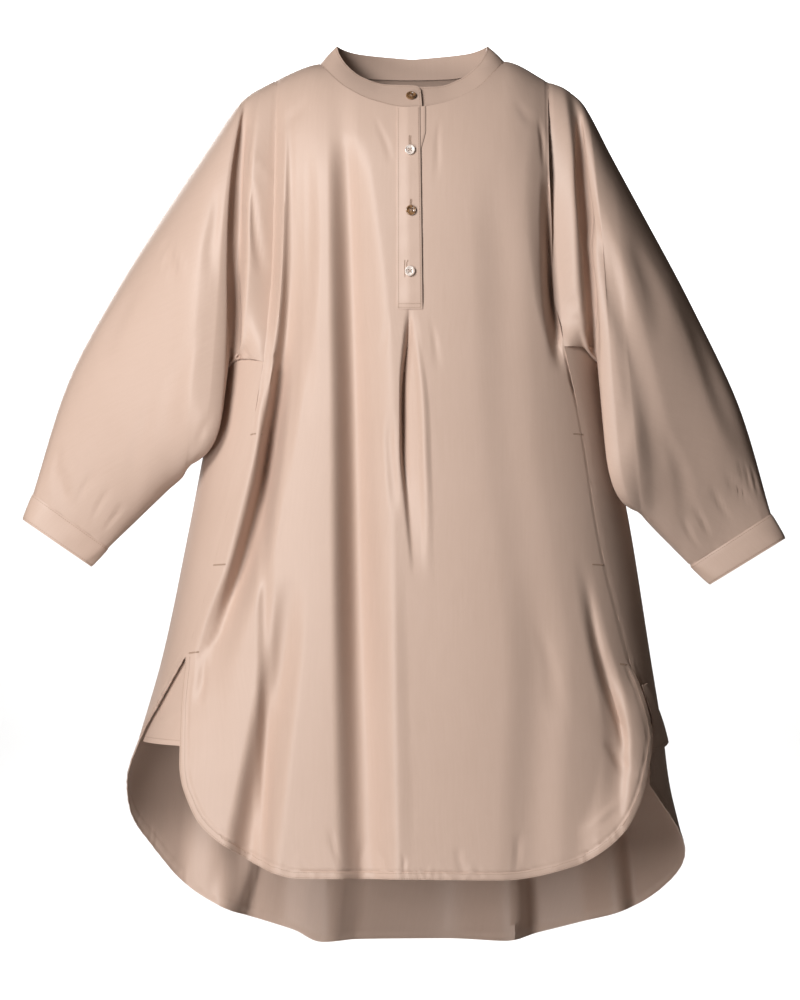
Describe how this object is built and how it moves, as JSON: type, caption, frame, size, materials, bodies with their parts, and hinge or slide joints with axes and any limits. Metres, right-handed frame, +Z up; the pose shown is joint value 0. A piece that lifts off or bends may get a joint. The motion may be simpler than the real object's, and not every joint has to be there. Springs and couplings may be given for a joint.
{
  "type": "mandarin collar dress",
  "caption": "Hollow knee-length tunic dress with a stand collar, half placket, inverted pleat, deep batwing sleeves with band cuffs, side vents and a curved hem that is longer behind.",
  "frame": {"origin": "the middle of the base of the neck, where the wearer's shoulders hold the dress up", "axes": "+Z up along the body, +X to the viewer's right when facing the front, -Y out of the front"},
  "size_m": [0.8929, 0.3079, 1.0494],
  "materials": {
    "sateen": "rose-beige cotton sateen with a soft sheen",
    "button_shell": "pale polished button with a darker rim",
    "button_tortoise": "dark mottled polished button"
  },
  "bodies": {
    "root": {"front_panel": "sateen", "back_panel": "sateen", "sleeve_left": "sateen", "sleeve_right": "sateen", "cuff_left": "sateen", "cuff_right": "sateen", "collar": "sateen", "placket_under": "sateen", "placket_over": "sateen", "gusset_left": "sateen", "gusset_right": "sateen", "button_1": "button_tortoise", "button_2": "button_shell", "button_3": "button_tortoise", "button_4": "button_shell"}
  },
  "joints": []
}
